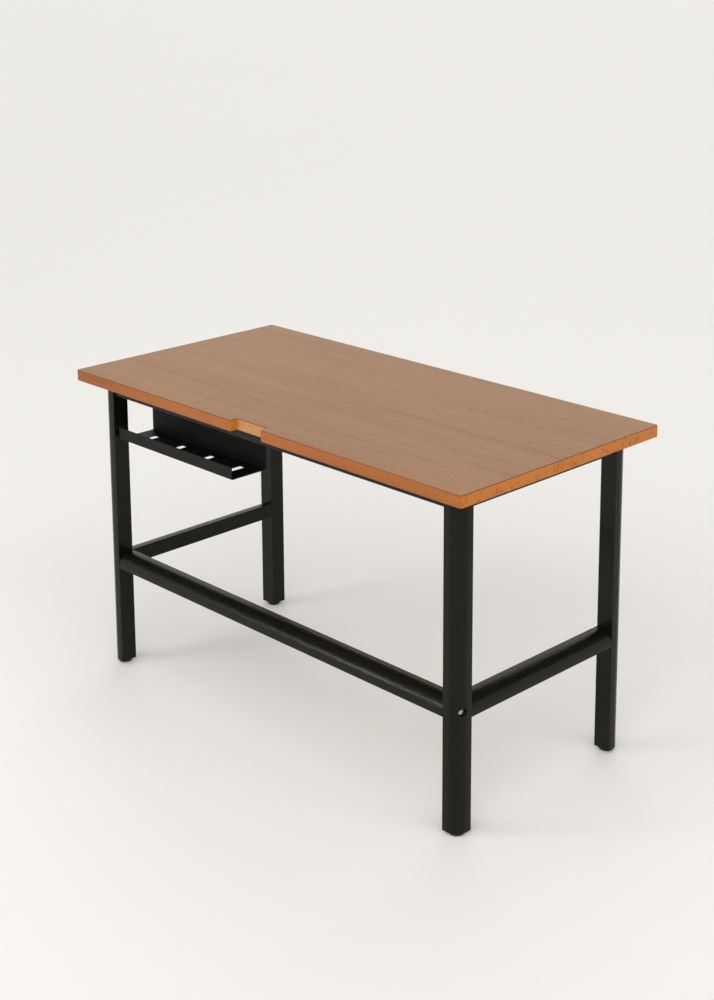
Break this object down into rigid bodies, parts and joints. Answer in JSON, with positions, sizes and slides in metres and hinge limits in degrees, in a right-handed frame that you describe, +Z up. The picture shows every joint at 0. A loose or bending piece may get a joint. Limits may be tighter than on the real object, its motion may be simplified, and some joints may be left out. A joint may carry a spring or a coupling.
{
  "type": "work table",
  "caption": "Rectangular work table: solid wood top with an edge notch, black wood frame with three stretchers, slotted steel tray under the top, levelling glides.",
  "frame": {"origin": "on the floor under the middle of the top", "axes": "+X along the length of the top, +Z up, -Y towards the side with the notch, the tray and the long stretcher"},
  "size_m": [1.2, 0.6, 0.72],
  "materials": {
    "top_wood": "oiled reddish brown wood, satin",
    "black_wood": "black stained wood with open grain, semi-gloss",
    "black_steel": "matte black powder coat",
    "zinc_steel": "bright zinc plate",
    "beech": "raw wood",
    "black_nylon": "moulded black plastic"
  },
  "bodies": {
    "table": {"top_panel": "top_wood", "leg_front_left": "black_wood", "leg_front_right": "black_wood", "leg_rear_left": "black_wood", "leg_rear_right": "black_wood", "rail_front": "black_wood", "rail_rear": "black_wood", "rail_left": "black_wood", "rail_right": "black_wood", "stretcher_front": "black_wood", "stretcher_left": "black_wood", "stretcher_right": "black_wood", "under_top_tray": "black_steel", "stretcher_bolt_left": "zinc_steel", "stretcher_bolt_right": "zinc_steel", "barrel_nut_left": "zinc_steel", "barrel_nut_right": "zinc_steel", "top_screw_long_front_left": "zinc_steel", "top_screw_long_front_right": "zinc_steel", "top_screw_long_rear_left": "zinc_steel", "top_screw_long_rear_right": "zinc_steel", "top_screw_side_front_left": "zinc_steel", "top_screw_side_front_right": "zinc_steel", "top_screw_side_rear_left": "zinc_steel", "top_screw_side_rear_right": "zinc_steel", "tray_screw_1": "zinc_steel", "tray_screw_2": "zinc_steel", "tray_screw_3": "zinc_steel", "tray_screw_4": "zinc_steel", "glide_insert_front_left": "zinc_steel", "glide_insert_front_right": "zinc_steel", "glide_insert_rear_left": "zinc_steel", "glide_insert_rear_right": "zinc_steel", "stretcher_dowel_left": "beech", "stretcher_dowel_right": "beech", "rail_dowel_front_left": "beech", "rail_dowel_front_right": "beech", "rail_dowel_rear_left": "beech", "rail_dowel_rear_right": "beech", "rail_tenon_left_front": "beech", "rail_tenon_left_rear": "beech", "rail_tenon_right_front": "beech", "rail_tenon_right_rear": "beech", "stretcher_tenon_left_front": "beech", "stretcher_tenon_left_rear": "beech", "stretcher_tenon_right_front": "beech", "stretcher_tenon_right_rear": "beech"},
    "pad_front_left": {"glide_pad_front_left": "black_nylon"},
    "stud_front_left": {"glide_stud_front_left": "zinc_steel"},
    "pad_front_right": {"glide_pad_front_right": "black_nylon"},
    "stud_front_right": {"glide_stud_front_right": "zinc_steel"},
    "pad_rear_left": {"glide_pad_rear_left": "black_nylon"},
    "stud_rear_left": {"glide_stud_rear_left": "zinc_steel"},
    "pad_rear_right": {"glide_pad_rear_right": "black_nylon"},
    "stud_rear_right": {"glide_stud_rear_right": "zinc_steel"}
  },
  "joints": [
    {"name": "glide_travel_front_left", "type": "slide", "parent": "table", "child": "pad_front_left", "axis": [0, 0, -1], "range_m": [0, 0.008]},
    {"name": "glide_turn_front_left", "type": "hinge", "parent": "pad_front_left", "child": "stud_front_left", "pos_m": [-0.536, -0.236, 0.007], "axis": [0, 0, -1], "range_deg": [0, 2300]},
    {"name": "glide_travel_front_right", "type": "slide", "parent": "table", "child": "pad_front_right", "axis": [0, 0, -1], "range_m": [0, 0.008]},
    {"name": "glide_turn_front_right", "type": "hinge", "parent": "pad_front_right", "child": "stud_front_right", "pos_m": [0.536, -0.236, 0.007], "axis": [0, 0, -1], "range_deg": [0, 2300]},
    {"name": "glide_travel_rear_left", "type": "slide", "parent": "table", "child": "pad_rear_left", "axis": [0, 0, -1], "range_m": [0, 0.008]},
    {"name": "glide_turn_rear_left", "type": "hinge", "parent": "pad_rear_left", "child": "stud_rear_left", "pos_m": [-0.536, 0.236, 0.007], "axis": [0, 0, -1], "range_deg": [0, 2300]},
    {"name": "glide_travel_rear_right", "type": "slide", "parent": "table", "child": "pad_rear_right", "axis": [0, 0, -1], "range_m": [0, 0.008]},
    {"name": "glide_turn_rear_right", "type": "hinge", "parent": "pad_rear_right", "child": "stud_rear_right", "pos_m": [0.536, 0.236, 0.007], "axis": [0, 0, -1], "range_deg": [0, 2300]}
  ],
  "couplings": [
    {"joint": "glide_travel_front_left", "follows": "glide_turn_front_left", "m_per_rad": 0.00019894},
    {"joint": "glide_travel_front_right", "follows": "glide_turn_front_right", "m_per_rad": 0.00019894},
    {"joint": "glide_travel_rear_left", "follows": "glide_turn_rear_left", "m_per_rad": 0.00019894},
    {"joint": "glide_travel_rear_right", "follows": "glide_turn_rear_right", "m_per_rad": 0.00019894}
  ]
}
